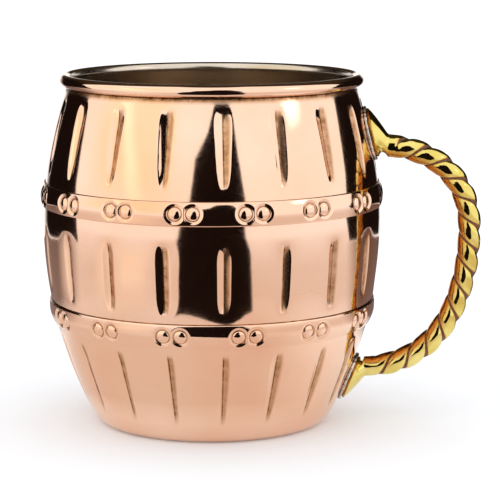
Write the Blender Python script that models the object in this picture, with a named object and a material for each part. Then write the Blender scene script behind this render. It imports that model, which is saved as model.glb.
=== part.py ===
"""Copper barrel mug with a rope-twist brass handle, as separate solids.

Metres, +Z up. The origin is the centre of the flat base, and the handle lies along +X.
"""

import math

import bmesh
import bpy
from mathutils import Vector

# Cup
CUP_HEIGHT = 0.100
BELLY_RADIUS = 0.0482
BELLY_HEIGHT = 0.058
FOOT_RADIUS = 0.0332  # where the wall's curve would meet the base plane
BASE_RADIUS = 0.0300  # the flat disc that the mug stands on
FOOT_ROUND_HEIGHT = 0.0045
NECK_RADIUS = 0.04065
LOWER_FULLNESS = 0.9  # 1 is a plain parabola; the rest of the swell is cubic
UPPER_FULLNESS = 1.2
SHELL_SHEET = 0.0008
RIM_RADIUS = 0.00175  # radius of the rolled edge's round section

# Liner
LINER_SHEET = 0.0005
LINER_LAP = math.radians(40.0)  # how far past level its edge laps over the rolled rim

# Clearance left between any two pieces that are fitted together
FIT_GAP = 0.0003
MERGE = 0.00001  # points closer than this are one point

# Flutes, pressed inward into the wall
FLUTES_ROUND = 18
FLUTE_DEPTH = 0.0005
FLUTE_ENDS = ((0.0065, 0.0032), (0.0023, 0.0051), (0.0030, 0.0043))  # clear of what is below and above

# Hoops and rivets
HOOP_EDGE_SHEET = 0.0003
HOOP_CROWN_RISE = 0.0004  # how much thicker the hoop is at its middle than at its edges
UPPER_HOOP = (0.0662, 0.0066)  # middle height and width
LOWER_HOOP = (0.0326, 0.0068)
UPPER_PAIRS = 16
LOWER_PAIRS = 14
UPPER_FIRST_PAIR = math.radians(-3.0)  # turn from the handle to the nearest pair
LOWER_FIRST_PAIR = math.radians(5.0)
RIVET_SPACING = 0.0048  # between the two rivets of a pair
RIVET_SEAT_RADIUS = 0.00275
RIVET_SEAT_WAIST = 0.0013  # least half width of the seat between its two rivets
RIVET_PLATE_SHEET = 0.0003
RIVET_HEAD_RADIUS = 0.00185
RIVET_HEAD_RISE = 0.00045

# Handle
BAR_RADIUS = 0.0033
HANDLE_REACH = 0.0254  # from the belly out to the middle of the bar
HANDLE_WIDEST_HEIGHT = 0.0561
UPPER_BAR_DROP = 0.0203  # from the top of the cup down to the bar's upper neck
LOWER_BAR_HEIGHT = 0.0157
UPPER_NECK = 0.0045  # from the wall to where the bar starts
LOWER_NECK = 0.0036
UPPER_BEND = 0.0065  # lengths of the tangents that shape the bar's bow
UPPER_DROP = 0.0195
LOWER_BEND = 0.0248
LOWER_DROP = 0.0147
LOWER_TILT = 0.0010  # how far the lower tangent climbs away from the wall
UPPER_PAD_RISE = 0.0035  # from the bar's neck to the middle of its pad
LOWER_PAD_DROP = 0.0028
UPPER_PAD_SIZE = (0.0060, 0.0068)  # half width and half height
LOWER_PAD_SIZE = (0.0060, 0.0059)
PAD_EDGE = 0.0014
TWIST_LEAD = 0.0131  # length of one full turn of the rope
TWIST_START = 0.0050  # along the bar, where the first valley crosses its outer side
TWIST_STARTS = 2
TWIST_DEPTH = 0.00045
PLAIN_UPPER = 0.0030  # smooth bar before the twist begins
PLAIN_LOWER = 0.0030
SOLDER_LEG = 0.0009

# How finely the round shapes are divided
ROUND_STEPS = 72
LINER_STEPS = 36
FOOT_STEPS = 3
ROLL_STEPS = 6
INSIDE_ROWS = 8
BAR_SIDES = 12
BAR_RINGS = 44
SEAT_STEPS = 6
PAD_STEPS = 24

RIM_MIDDLE_HEIGHT = CUP_HEIGHT - RIM_RADIUS
ROLL_HOLLOW = RIM_RADIUS - SHELL_SHEET
NECK_SLOPE = (NECK_RADIUS - BELLY_RADIUS) * (3.0 - UPPER_FULLNESS) / (RIM_MIDDLE_HEIGHT - BELLY_HEIGHT)
NECK_LEAN = math.atan(-NECK_SLOPE)
NECK_HEIGHT = RIM_MIDDLE_HEIGHT - ROLL_HOLLOW * math.sin(NECK_LEAN)
RIM_MIDDLE_RADIUS = NECK_RADIUS + ROLL_HOLLOW * math.cos(NECK_LEAN)
UPPER_BAR_HEIGHT = CUP_HEIGHT - UPPER_BAR_DROP
UPPER_PAD = (UPPER_BAR_HEIGHT + UPPER_PAD_RISE, *UPPER_PAD_SIZE)
LOWER_PAD = (LOWER_BAR_HEIGHT - LOWER_PAD_DROP, *LOWER_PAD_SIZE)
FLOORS = (0.0, LOWER_HOOP[0] + LOWER_HOOP[1] / 2.0, UPPER_HOOP[0] + UPPER_HOOP[1] / 2.0)
CEILINGS = (LOWER_HOOP[0] - LOWER_HOOP[1] / 2.0, UPPER_HOOP[0] - UPPER_HOOP[1] / 2.0, RIM_MIDDLE_HEIGHT)
FLUTE_ROWS = tuple(
    (floor + above, ceiling - below)
    for floor, ceiling, (above, below) in zip(FLOORS, CEILINGS, FLUTE_ENDS)
)


def clear_scene():
    """Remove whatever the scene holds."""
    for item in list(bpy.data.objects):
        bpy.data.objects.remove(item, do_unlink=True)


def make_material(name, color, roughness):
    """A polished metal with one Principled shader."""
    material = bpy.data.materials.new(name)
    material.use_nodes = True
    shader = material.node_tree.nodes["Principled BSDF"]
    shader.inputs["Base Color"].default_value = (*color, 1.0)
    shader.inputs["Metallic"].default_value = 1.0
    shader.inputs["Roughness"].default_value = roughness
    material.diffuse_color = (*color, 1.0)
    return material


def make_object(name, points, faces, material):
    """A closed, outward-facing, smooth-shaded mesh object from points and faces."""
    mesh = bpy.data.meshes.new(name)
    mesh.from_pydata([tuple(point) for point in points], [], faces)
    work = bmesh.new()
    work.from_mesh(mesh)
    bmesh.ops.recalc_face_normals(work, faces=work.faces)
    work.to_mesh(mesh)
    work.free()
    mesh.shade_smooth()
    mesh.set_sharp_from_angle(angle=math.radians(35.0))
    mesh.materials.append(material)
    item = bpy.data.objects.new(name, mesh)
    bpy.context.collection.objects.link(item)
    return item


def wall_radius(height):
    """Radius of the cup's outer surface at a height, hoops and flutes left out."""
    if height < BELLY_HEIGHT:
        run = (BELLY_HEIGHT - height) / BELLY_HEIGHT
        swell, fullness = BELLY_RADIUS - FOOT_RADIUS, LOWER_FULLNESS
    else:
        run = (height - BELLY_HEIGHT) / (NECK_HEIGHT - BELLY_HEIGHT)
        swell, fullness = BELLY_RADIUS - NECK_RADIUS, UPPER_FULLNESS
    return BELLY_RADIUS - swell * run * run * (fullness + (1.0 - fullness) * run)


def wall_normal(height):
    """Outward (radial, vertical) direction of the wall at a height."""
    step = 0.00001
    slope = (wall_radius(height + step) - wall_radius(height - step)) / (2.0 * step)
    length = math.hypot(1.0, slope)
    return 1.0 / length, -slope / length


def wall_station(height, proud=0.0):
    """(radius, height) of a point standing proud of the wall at a height."""
    normal = wall_normal(height)
    return wall_radius(height) + proud * normal[0], height + proud * normal[1]


def on_wall(turn, height, proud):
    """The point at a turn from the handle, a height, and a distance proud of the wall."""
    radius, level = wall_station(height, proud)
    return Vector((radius * math.cos(turn), radius * math.sin(turn), level))


def bezier(start, start_handle, end_handle, end, share):
    """The point at a share of the way along a cubic curve, for pairs of numbers."""
    back = 1.0 - share
    weights = (back ** 3, 3.0 * back * back * share, 3.0 * back * share * share, share ** 3)
    corners = (start, start_handle, end_handle, end)
    return tuple(sum(w * corner[axis] for w, corner in zip(weights, corners)) for axis in (0, 1))


def foot_station(share, proud=0.0):
    """(radius, height) on the rounded foot, from the base disc (0) up to the wall (1)."""
    top = (wall_radius(FOOT_ROUND_HEIGHT), FOOT_ROUND_HEIGHT)
    normal = wall_normal(FOOT_ROUND_HEIGHT)
    reach = 0.6 * (top[0] - BASE_RADIUS)
    handle = (top[0] + normal[1] * reach, top[1] - normal[0] * reach * 0.8)
    start = (BASE_RADIUS, 0.0)
    low = (BASE_RADIUS + reach, 0.0)
    point = bezier(start, low, handle, top, share)
    turn = share * math.atan2(normal[0], -normal[1])
    return point[0] + proud * math.sin(turn), point[1] - proud * math.cos(turn)


def revolve(name, path, steps, material, reshape=None):
    """Turn an open (radius, height) path whose two ends lie on the axis into a closed solid."""
    points = [Vector((0.0, 0.0, path[0][1]))]
    rings = path[1:-1]
    for radius, height in rings:
        for step in range(steps):
            turn = 2.0 * math.pi * step / steps
            r = radius if reshape is None else reshape(radius, height, turn)
            points.append(Vector((r * math.cos(turn), r * math.sin(turn), height)))
    points.append(Vector((0.0, 0.0, path[-1][1])))
    faces = []
    last = len(points) - 1
    for step in range(steps):
        after = (step + 1) % steps
        faces.append((0, 1 + after, 1 + step))
        for ring in range(len(rings) - 1):
            low = 1 + ring * steps
            high = low + steps
            faces.append((low + step, low + after, high + after, high + step))
        top = 1 + (len(rings) - 1) * steps
        faces.append((last, top + step, top + after))
    return make_object(name, points, faces, material)


def flute_depth(height, turn):
    """How deep the pressed flutes lie at a height and a turn."""
    pitch = 2.0 * math.pi / FLUTES_ROUND
    across = abs((turn + pitch / 2.0) % pitch - pitch / 2.0) / (pitch / 4.0)
    if across >= 1.0:
        return 0.0
    for low, high in FLUTE_ROWS:
        if low < height < high:
            along = abs(2.0 * (height - low) / (high - low) - 1.0)
            return FLUTE_DEPTH * (1.0 - across) * (1.0 - along ** 4)
    return 0.0


def wall_heights():
    """Heights of the rings on the outside of the wall, denser along the flutes."""
    heights = []
    for low, high in FLUTE_ROWS:
        heights += [low + (high - low) * share for share in (0.0, 0.18, 0.5, 0.82, 1.0)]
    heights += [(UPPER_HOOP[0] + FLUTE_ROWS[2][0]) / 2.0, (UPPER_HOOP[0] + FLUTE_ROWS[1][1]) / 2.0]
    heights += [LOWER_HOOP[0]]
    return sorted(heights)


def inside_heights():
    """Heights of the rings inside the cup, from the foot to just under the rolled rim."""
    top = RIM_MIDDLE_HEIGHT - 1.5 * RIM_RADIUS
    climb = top - FOOT_ROUND_HEIGHT
    return [FOOT_ROUND_HEIGHT + climb * row / INSIDE_ROWS for row in range(INSIDE_ROWS + 1)]


def roll(radius, start, end):
    """Stations on the rolled rim's round section, from one angle to another."""
    stations = []
    for step in range(ROLL_STEPS + 1):
        angle = start + (end - start) * step / ROLL_STEPS
        out, up = radius * math.cos(angle), radius * math.sin(angle)
        stations.append((RIM_MIDDLE_RADIUS + out, RIM_MIDDLE_HEIGHT + up))
    return stations


def make_outer_shell(material):
    """Drawn copper sheet: base, rounded foot, fluted wall and the rim rolled outward."""
    foot = [step / FOOT_STEPS for step in range(FOOT_STEPS)]
    path = [(0.0, 0.0)]
    path += [foot_station(share) for share in foot]
    path += [wall_station(FOOT_ROUND_HEIGHT)]
    path += [wall_station(height) for height in wall_heights()]
    roll_start = math.pi + NECK_LEAN
    roll_end = -math.pi / 2.0
    path += roll(ROLL_HOLLOW, roll_start, roll_end)
    path += roll(RIM_RADIUS, roll_end, roll_start)
    path += [wall_station(height, -SHELL_SHEET) for height in reversed(inside_heights())]
    path += [foot_station(share, -SHELL_SHEET) for share in reversed(foot)]
    path += [(0.0, SHELL_SHEET)]

    def press_flutes(radius, height, turn):
        outside = radius > wall_radius(height) - SHELL_SHEET / 2.0
        return radius - flute_depth(height, turn) if outside and height < NECK_HEIGHT else radius

    return revolve("outer_shell", path, ROUND_STEPS, material, press_flutes)


def make_inner_liner(material):
    """Thin cup that follows the inside of the shell and laps over the rolled rim."""
    outside = SHELL_SHEET + FIT_GAP
    inside = outside + LINER_SHEET
    foot = [step / FOOT_STEPS for step in range(FOOT_STEPS)]
    heights = inside_heights()
    path = [(0.0, outside)]
    path += [foot_station(share, -outside) for share in foot]
    path += [wall_station(height, -outside) for height in heights]
    path += roll(RIM_RADIUS + FIT_GAP, math.pi + NECK_LEAN, math.pi - LINER_LAP)
    path += roll(RIM_RADIUS + FIT_GAP + LINER_SHEET, math.pi - LINER_LAP, math.pi + NECK_LEAN)
    path += [wall_station(height, -inside) for height in reversed(heights)]
    path += [foot_station(share, -inside) for share in reversed(foot)]
    path += [(0.0, inside)]
    return revolve("inner_liner", path, LINER_STEPS, material)


def seat_angles(radius, waist):
    """Angles round one rivet of a pair, from one side of the neck between the two to the other.

    The neck is as wide as where the two circles cross, or as the waist where they don't reach.
    """
    crossing = math.acos(min(RIVET_SPACING / 2.0 / radius, 1.0))
    turn = max(math.asin(min(waist / radius, 1.0)), crossing)
    sweep = 2.0 * math.pi - 2.0 * turn
    return [math.pi + turn + sweep * step / SEAT_STEPS for step in range(SEAT_STEPS + 1)]


def seat_outline(radius, waist):
    """(across, up) points of a figure of eight round both rivets of a pair."""
    half = RIVET_SPACING / 2.0
    outline = []
    for side in (1.0, -1.0):
        for angle in seat_angles(radius, waist):
            spot = (side * (half + radius * math.cos(angle)), side * radius * math.sin(angle))
            if not outline or math.dist(spot, outline[-1]) > MERGE:
                outline.append(spot)
    if math.dist(outline[0], outline[-1]) <= MERGE:
        outline.pop()
    return outline


def seat_cutter(pairs, first, hoop):
    """Prisms that cut one hoop's rivet seats, joined in a single hidden guide object."""
    outline = seat_outline(RIVET_SEAT_RADIUS, RIVET_SEAT_WAIST)
    count = len(outline)
    points = []
    faces = []
    for pair in range(pairs):
        turn = first + 2.0 * math.pi * pair / pairs
        start = len(points)
        for proud in (0.0, 3.0 * (FIT_GAP + HOOP_EDGE_SHEET + HOOP_CROWN_RISE)):
            for across, up in outline:
                points.append(on_wall(turn + across / wall_radius(hoop[0]), hoop[0] + up, proud))
        faces.append(tuple(range(start, start + count)))
        faces.append(tuple(range(start + 2 * count - 1, start + count - 1, -1)))
        for corner in range(count):
            after = (corner + 1) % count
            faces.append((start + corner, start + count + corner, start + count + after, start + after))
    cutter = make_object("seat_cutter", points, faces, bpy.data.materials["copper"])
    cutter.hide_render = True
    cutter.display_type = "WIRE"
    return cutter


def make_hoop(name, hoop, pairs, first, material):
    """Convex band round the wall, pierced by its rivet seats."""
    middle, width = hoop
    section = []
    for share in (-1.0, 0.0, 1.0):
        proud = FIT_GAP + HOOP_EDGE_SHEET + HOOP_CROWN_RISE * (1.0 - share * share)
        section.append(wall_station(middle + share * width / 2.0, proud))
    for share in (1.0, -1.0):
        section.append(wall_station(middle + share * width / 2.0, FIT_GAP))
    count = len(section)
    points = []
    faces = []
    for step in range(ROUND_STEPS):
        turn = 2.0 * math.pi * step / ROUND_STEPS
        after = (step + 1) % ROUND_STEPS
        points += [Vector((r * math.cos(turn), r * math.sin(turn), z)) for r, z in section]
        for corner in range(count):
            beside = (corner + 1) % count
            here, there = step * count, after * count
            faces.append((here + corner, there + corner, there + beside, here + beside))
    item = make_object(name, points, faces, material)
    cut = item.modifiers.new("rivet_seats", "BOOLEAN")
    cut.operation = "DIFFERENCE"
    cut.solver = "EXACT"
    cut.object = seat_cutter(pairs, first, hoop)
    return item


def make_rivet_pair(name, turn, hoop, material):
    """Two domed rivets on the figure-of-eight plate that fills one seat of a hoop."""
    plate_radius = RIVET_SEAT_RADIUS - FIT_GAP
    plate_top = FIT_GAP + RIVET_PLATE_SHEET
    half = RIVET_SPACING / 2.0
    angles = seat_angles(plate_radius, RIVET_SEAT_WAIST - FIT_GAP)
    corners = len(angles)
    points = []
    faces = []

    def add(across, up, proud):
        points.append(on_wall(turn + across / wall_radius(hoop[0]), hoop[0] + up, proud))
        return len(points) - 1

    necks = []
    for side in (1.0, -1.0):
        spots = [(math.cos(angle), side * math.sin(angle)) for angle in angles]

        def ring(radius, proud):
            return [add(side * (half + radius * c), radius * s, proud) for c, s in spots]

        low = ring(plate_radius, FIT_GAP)
        high = ring(plate_radius, plate_top)
        foot = ring(RIVET_HEAD_RADIUS, plate_top)
        shoulder = ring(RIVET_HEAD_RADIUS * 0.7, plate_top + RIVET_HEAD_RISE * 0.7)
        crown = add(side * half, 0.0, plate_top + RIVET_HEAD_RISE)
        under = add(side * half, 0.0, FIT_GAP)
        for corner in range(corners):
            after = (corner + 1) % corners
            faces.append((under, low[after], low[corner]))
            faces.append((high[corner], high[after], foot[after], foot[corner]))
            faces.append((foot[corner], foot[after], shoulder[after], shoulder[corner]))
            faces.append((shoulder[corner], shoulder[after], crown))
            if corner < corners - 1:
                faces.append((low[corner], low[after], high[after], high[corner]))
        necks.append((low[0], low[-1], high[0], high[-1]))
    (low_a, low_b, high_a, high_b), (low_c, low_d, high_c, high_d) = necks
    faces.append((low_a, low_b, low_c, low_d))
    faces.append((high_a, high_d, high_c, high_b))
    faces.append((low_b, high_b, high_c, low_c))
    faces.append((low_d, high_d, high_a, low_a))
    item = make_object(name, points, faces, material)
    weld = item.modifiers.new("neck", "WELD")
    weld.merge_threshold = MERGE
    return item


def bar_middle(share):
    """(out, height) of the middle of the bar, from the upper neck (0) to the lower neck (1)."""
    out = BELLY_RADIUS + HANDLE_REACH
    if share < 0.5:
        start = (wall_radius(UPPER_BAR_HEIGHT) + UPPER_NECK, UPPER_BAR_HEIGHT)
        end = (out, HANDLE_WIDEST_HEIGHT)
        high = (start[0] + UPPER_BEND, start[1])
        return bezier(start, high, (out, end[1] + UPPER_DROP), end, share * 2.0)
    start = (out, HANDLE_WIDEST_HEIGHT)
    end = (wall_radius(LOWER_BAR_HEIGHT) + LOWER_NECK, LOWER_BAR_HEIGHT)
    low = (out, start[1] - LOWER_DROP)
    far = (end[0] + LOWER_BEND, end[1] + LOWER_TILT)
    return bezier(start, low, far, end, share * 2.0 - 1.0)


def bar_stations():
    """Middle, outward direction and distance along the bar for each of its rings."""
    fine = 400
    route = [Vector(bar_middle(step / fine)) for step in range(fine + 1)]
    lengths = [0.0]
    for before, after in zip(route, route[1:]):
        lengths.append(lengths[-1] + (after - before).length)
    stations = []
    for ring in range(BAR_RINGS + 1):
        target = lengths[-1] * ring / BAR_RINGS
        spot = min(range(fine + 1), key=lambda index: abs(lengths[index] - target))
        ahead = (route[min(spot + 1, fine)] - route[max(spot - 1, 0)]).normalized()
        stations.append((route[spot], Vector((-ahead[1], ahead[0])), lengths[spot]))
    return stations


def twist_cut(angle, distance, total):
    """How far the rope's valley lies below the round bar at an angle and a distance."""
    fade = min((distance - PLAIN_UPPER) / BAR_RADIUS, (total - PLAIN_LOWER - distance) / BAR_RADIUS, 1.0)
    wave = math.cos(TWIST_STARTS * (angle - 2.0 * math.pi * (distance - TWIST_START) / TWIST_LEAD))
    return TWIST_DEPTH * max(fade, 0.0) * (0.5 + 0.5 * wave)


def pad_ring(pad, spread, proud):
    """Points round a pad's oval, lying on the wall."""
    middle, half_width, half_height = pad
    ring = []
    for side in range(BAR_SIDES):
        angle = 2.0 * math.pi * side / BAR_SIDES
        across = spread * half_width * math.sin(angle)
        up = spread * half_height * math.cos(angle)
        ring.append(on_wall(across / wall_radius(middle), middle + up, proud))
    return ring


def flare_rings(pad, neck_ring):
    """Rings from the middle of a pad's back, round its edge and up its flare to the neck."""
    edge = pad_ring(pad, 1.0, FIT_GAP + PAD_EDGE)
    rings = [pad_ring(pad, 0.5, FIT_GAP), pad_ring(pad, 1.0, FIT_GAP), edge]
    shoulder = pad_ring(pad, 0.62, FIT_GAP + PAD_EDGE * 1.7)
    for share in (0.3, 0.65):
        ring = []
        for low, mid, high in zip(edge, shoulder, neck_ring):
            back = 1.0 - share
            ring.append(low * back * back + mid * 2.0 * back * share + high * share * share)
        rings.append(ring)
    return rings


def make_handle(material):
    """One brass casting: upper pad, twisted bar and lower pad."""
    stations = bar_stations()
    total = stations[-1][2]
    bar = []
    for middle, outward, distance in stations:
        ring = []
        for side in range(BAR_SIDES):
            angle = 2.0 * math.pi * side / BAR_SIDES
            radius = BAR_RADIUS - twist_cut(angle, distance, total)
            lift = radius * math.cos(angle)
            ring.append(Vector((
                middle[0] + outward[0] * lift,
                radius * math.sin(angle),
                middle[1] + outward[1] * lift,
            )))
        bar.append(ring)
    turned = [bar[-1][(BAR_SIDES // 2 - side) % BAR_SIDES] for side in range(BAR_SIDES)]
    lower = [[ring[(BAR_SIDES // 2 - side) % BAR_SIDES] for side in range(BAR_SIDES)]
             for ring in flare_rings(LOWER_PAD, turned)]
    rings = flare_rings(UPPER_PAD, bar[0]) + bar + list(reversed(lower))
    points = [on_wall(0.0, UPPER_PAD[0], FIT_GAP)]
    for ring in rings:
        points += ring
    points.append(on_wall(0.0, LOWER_PAD[0], FIT_GAP))
    faces = []
    last = len(points) - 1
    final = 1 + (len(rings) - 1) * BAR_SIDES
    for side in range(BAR_SIDES):
        after = (side + 1) % BAR_SIDES
        faces.append((0, 1 + side, 1 + after))
        faces.append((last, final + after, final + side))
        for ring in range(len(rings) - 1):
            low = 1 + ring * BAR_SIDES
            high = low + BAR_SIDES
            faces.append((low + side, high + side, high + after, low + after))
    return make_object("handle", points, faces, material)


def make_solder(name, pad, material):
    """Fillet of solder round a pad, in the corner between its edge and the wall."""
    middle, half_width, half_height = pad
    points = []
    faces = []
    corners = ((FIT_GAP, FIT_GAP), (FIT_GAP + SOLDER_LEG, FIT_GAP), (FIT_GAP, FIT_GAP + SOLDER_LEG))
    for step in range(PAD_STEPS):
        angle = 2.0 * math.pi * step / PAD_STEPS
        after = (step + 1) % PAD_STEPS
        for away, proud in corners:
            across = (half_width + away) * math.sin(angle)
            up = (half_height + away) * math.cos(angle)
            points.append(on_wall(across / wall_radius(middle), middle + up, proud))
        for corner in range(3):
            beside = (corner + 1) % 3
            faces.append((step * 3 + corner, after * 3 + corner, after * 3 + beside, step * 3 + beside))
    return make_object(name, points, faces, material)


def main():
    """Build every piece of the mug."""
    clear_scene()
    copper = make_material("copper", (0.83, 0.45, 0.33), 0.12)
    nickel = make_material("nickel", (0.50, 0.48, 0.42), 0.22)
    brass = make_material("brass", (0.80, 0.66, 0.22), 0.15)
    solder = make_material("solder", (0.62, 0.62, 0.60), 0.35)
    make_outer_shell(copper)
    make_inner_liner(nickel)
    make_hoop("upper_hoop", UPPER_HOOP, UPPER_PAIRS, UPPER_FIRST_PAIR, copper)
    make_hoop("lower_hoop", LOWER_HOOP, LOWER_PAIRS, LOWER_FIRST_PAIR, copper)
    for pair in range(UPPER_PAIRS):
        turn = UPPER_FIRST_PAIR + 2.0 * math.pi * pair / UPPER_PAIRS
        make_rivet_pair(f"upper_rivet_pair_{pair + 1:02d}", turn, UPPER_HOOP, copper)
    for pair in range(LOWER_PAIRS):
        turn = LOWER_FIRST_PAIR + 2.0 * math.pi * pair / LOWER_PAIRS
        make_rivet_pair(f"lower_rivet_pair_{pair + 1:02d}", turn, LOWER_HOOP, copper)
    make_handle(brass)
    make_solder("upper_handle_solder", UPPER_PAD, solder)
    make_solder("lower_handle_solder", LOWER_PAD, solder)


main()
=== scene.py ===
"""Looks of a barrel mug: copper shell, thin nickel lining, riveted hoops and a rope-twist brass handle.

Everything is in metres, +Z up, with the mug's base centre at the origin and its handle along +X.
"""

import logging
import math
from dataclasses import dataclass
from enum import Enum

import bmesh
import bpy
import numpy as np
from mathutils import Matrix, Vector, noise


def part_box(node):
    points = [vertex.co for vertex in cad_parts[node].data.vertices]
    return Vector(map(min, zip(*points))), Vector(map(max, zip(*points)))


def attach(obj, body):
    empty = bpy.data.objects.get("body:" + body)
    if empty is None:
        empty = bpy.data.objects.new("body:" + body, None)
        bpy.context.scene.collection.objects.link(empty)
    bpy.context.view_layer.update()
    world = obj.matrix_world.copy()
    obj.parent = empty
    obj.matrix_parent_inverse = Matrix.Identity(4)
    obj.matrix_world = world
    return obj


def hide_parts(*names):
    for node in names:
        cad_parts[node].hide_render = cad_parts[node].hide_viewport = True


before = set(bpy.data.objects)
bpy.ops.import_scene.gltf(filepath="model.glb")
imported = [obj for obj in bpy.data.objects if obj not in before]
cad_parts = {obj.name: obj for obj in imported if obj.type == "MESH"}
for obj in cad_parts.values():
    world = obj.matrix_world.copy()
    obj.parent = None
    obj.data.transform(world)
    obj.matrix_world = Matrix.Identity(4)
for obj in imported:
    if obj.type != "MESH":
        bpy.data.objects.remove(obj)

MM = 0.001
LOG = logging.getLogger("mug")


class Slot(Enum):
    """The record's material slots."""

    COPPER = "copper"
    LINING = "lining"
    BRASS = "brass"
    SOLDER = "solder"


# --- colour and node helpers ---------------------------------------------------------------


def linear(hex_color: str) -> tuple[float, float, float, float]:
    """Turn an sRGB hex colour into linear light.

    Args:
        hex_color: Six hex digits after a hash sign.

    Returns:
        Red, green, blue and alpha.
    """
    parts = [int(hex_color[at:at + 2], 16) / 255.0 for at in (1, 3, 5)]
    red, green, blue = (p / 12.92 if p <= 0.04045 else ((p + 0.055) / 1.055) ** 2.4 for p in parts)
    return red, green, blue, 1.0


def add_node(tree: bpy.types.NodeTree, kind: str, settings: dict | None = None,
             inputs: dict | None = None) -> bpy.types.Node:
    """Add one node with its settings and its input values or links.

    Args:
        tree: The node tree to add to.
        kind: Blender's type name of the node.
        settings: Attributes to set on the node.
        inputs: Socket name or index to a value, or to the output socket that feeds it.

    Returns:
        The new node.
    """
    node = tree.nodes.new(kind)
    for key, value in (settings or {}).items():
        setattr(node, key, value)
    for key, value in (inputs or {}).items():
        if isinstance(value, bpy.types.NodeSocket):
            tree.links.new(value, node.inputs[key])
        else:
            node.inputs[key].default_value = value
    return node


def add_ramp(tree: bpy.types.NodeTree, source: bpy.types.NodeSocket,
             stops: list[tuple[float, tuple[float, float, float, float]]]) -> bpy.types.NodeSocket:
    """Feed a value through a colour ramp.

    Args:
        tree: The node tree to add to.
        source: The value to look up.
        stops: Positions and colours, in order.

    Returns:
        The ramp's colour output.
    """
    ramp = add_node(tree, "ShaderNodeValToRGB", inputs={"Fac": source})
    elements = ramp.color_ramp.elements
    while len(elements) < len(stops):
        elements.new(0.5)
    for element, (position, color) in zip(elements, stops):
        element.position = position
        element.color = color
    return ramp.outputs["Color"]


def grey(level: float) -> tuple[float, float, float, float]:
    """A neutral colour of one level."""
    return level, level, level, 1.0


def start_finish(name: str) -> tuple[bpy.types.Material, bpy.types.Node, bpy.types.NodeSocket]:
    """Start a material whose patterns are laid in the object's own space.

    Args:
        name: The material's name.

    Returns:
        The material, its shader, and the place that the patterns are laid on.
    """
    material = bpy.data.materials.new(name)
    material.use_nodes = True
    place = add_node(material.node_tree, "ShaderNodeTexCoord").outputs["Object"]
    return material, material.node_tree.nodes["Principled BSDF"], place


# --- finishes --------------------------------------------------------------------------------


@dataclass(frozen=True)
class PolishedCopper:
    """Drawn copper sheet, buffed to a mirror and lacquered.

    The eye gets a peach mirror with very slight waves from the press, a faint haze of buffing
    lines, and brown in the creases: tarnish where polish and fingers never reach, and painted shade
    under the rim, along the hoops' and rivets' edges and on one side of each flute.
    """

    name: str = "polished_drawn_copper"
    bright: str = "#fbd6bc"
    warm: str = "#f5c4a4"
    # the two browns stand for tarnish and for painted shade in the creases
    stain: str = "#9c6418"
    crease: str = "#70401a"
    roughness: float = 0.055
    blush_size: float = 34.0 * MM
    wave_size: float = 11.0 * MM
    stain_size: float = 2.2 * MM
    buff_size: float = 1.0 * MM  # real buffing lines are about 0.02 mm; drawn as coarse as shows
    buff_squash: float = 3.0  # the lines run round the cup
    haze: float = 1.9  # roughness in the haziest buffing over that in the clearest
    crease_roughness: float = 0.25
    wave_height: float = 0.25 * MM
    line_height: float = 0.01 * MM

    def build(self) -> bpy.types.Material:
        """Make the material.

        Returns:
            A metal driven by object-space noise and the mesh's crease attribute.
        """
        material, shader, place = start_finish(self.name)
        tree = material.node_tree
        shader.inputs["Metallic"].default_value = 1.0
        blush = add_node(tree, "ShaderNodeTexNoise", inputs={
            "Vector": place, "Scale": 1.0 / self.blush_size,
            "Detail": 3.0, "Roughness": 0.5}).outputs["Fac"]
        tone = add_ramp(tree, blush, [(0.35, linear(self.bright)), (0.75, linear(self.warm))])
        # how brown each point is: tarnish and painted shade
        dirt = add_node(tree, "ShaderNodeAttribute", {"attribute_name": "crease"}).outputs["Fac"]
        patch = add_node(tree, "ShaderNodeTexNoise", inputs={
            "Vector": place, "Scale": 1.0 / self.stain_size,
            "Detail": 4.0, "Roughness": 0.6}).outputs["Fac"]
        cover = add_node(tree, "ShaderNodeMapRange", inputs={
            "Value": patch, "From Min": 0.3, "From Max": 0.7,
            "To Min": 0.7, "To Max": 1.25}).outputs["Result"]
        crease = add_node(tree, "ShaderNodeMath", {"operation": "MULTIPLY", "use_clamp": True}, {
            0: dirt, 1: cover}).outputs["Value"]
        brown = add_ramp(tree, crease, [(0.6, linear(self.stain)), (1.0, linear(self.crease))])
        color = add_node(tree, "ShaderNodeMix", {"data_type": "RGBA"}, {
            0: crease, 6: tone, 7: brown}).outputs[2]
        tree.links.new(color, shader.inputs["Base Color"])
        squash = add_node(tree, "ShaderNodeMapping", inputs={
            "Vector": place, "Scale": (1.0, 1.0, self.buff_squash)}).outputs["Vector"]
        buff = add_node(tree, "ShaderNodeTexNoise", inputs={
            "Vector": squash, "Scale": 1.0 / self.buff_size, "Detail": 2.0}).outputs["Fac"]
        haze = add_node(tree, "ShaderNodeMapRange", inputs={
            "Value": buff, "From Min": 0.35, "From Max": 0.75,
            "To Min": self.roughness, "To Max": self.roughness * self.haze}).outputs["Result"]
        rough = add_node(tree, "ShaderNodeMath", {"operation": "MULTIPLY_ADD"}, {
            0: crease, 1: self.crease_roughness, 2: haze}).outputs["Value"]
        tree.links.new(rough, shader.inputs["Roughness"])
        wave = add_node(tree, "ShaderNodeTexNoise", inputs={
            "Vector": place, "Scale": 1.0 / self.wave_size, "Detail": 1.0}).outputs["Fac"]
        swell = add_node(tree, "ShaderNodeBump", inputs={
            "Strength": 0.12, "Distance": self.wave_height, "Height": wave}).outputs["Normal"]
        lines = add_node(tree, "ShaderNodeBump", inputs={
            "Strength": 0.03, "Distance": self.line_height,
            "Height": buff, "Normal": swell}).outputs["Normal"]
        tree.links.new(lines, shader.inputs["Normal"])
        return material


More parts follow.
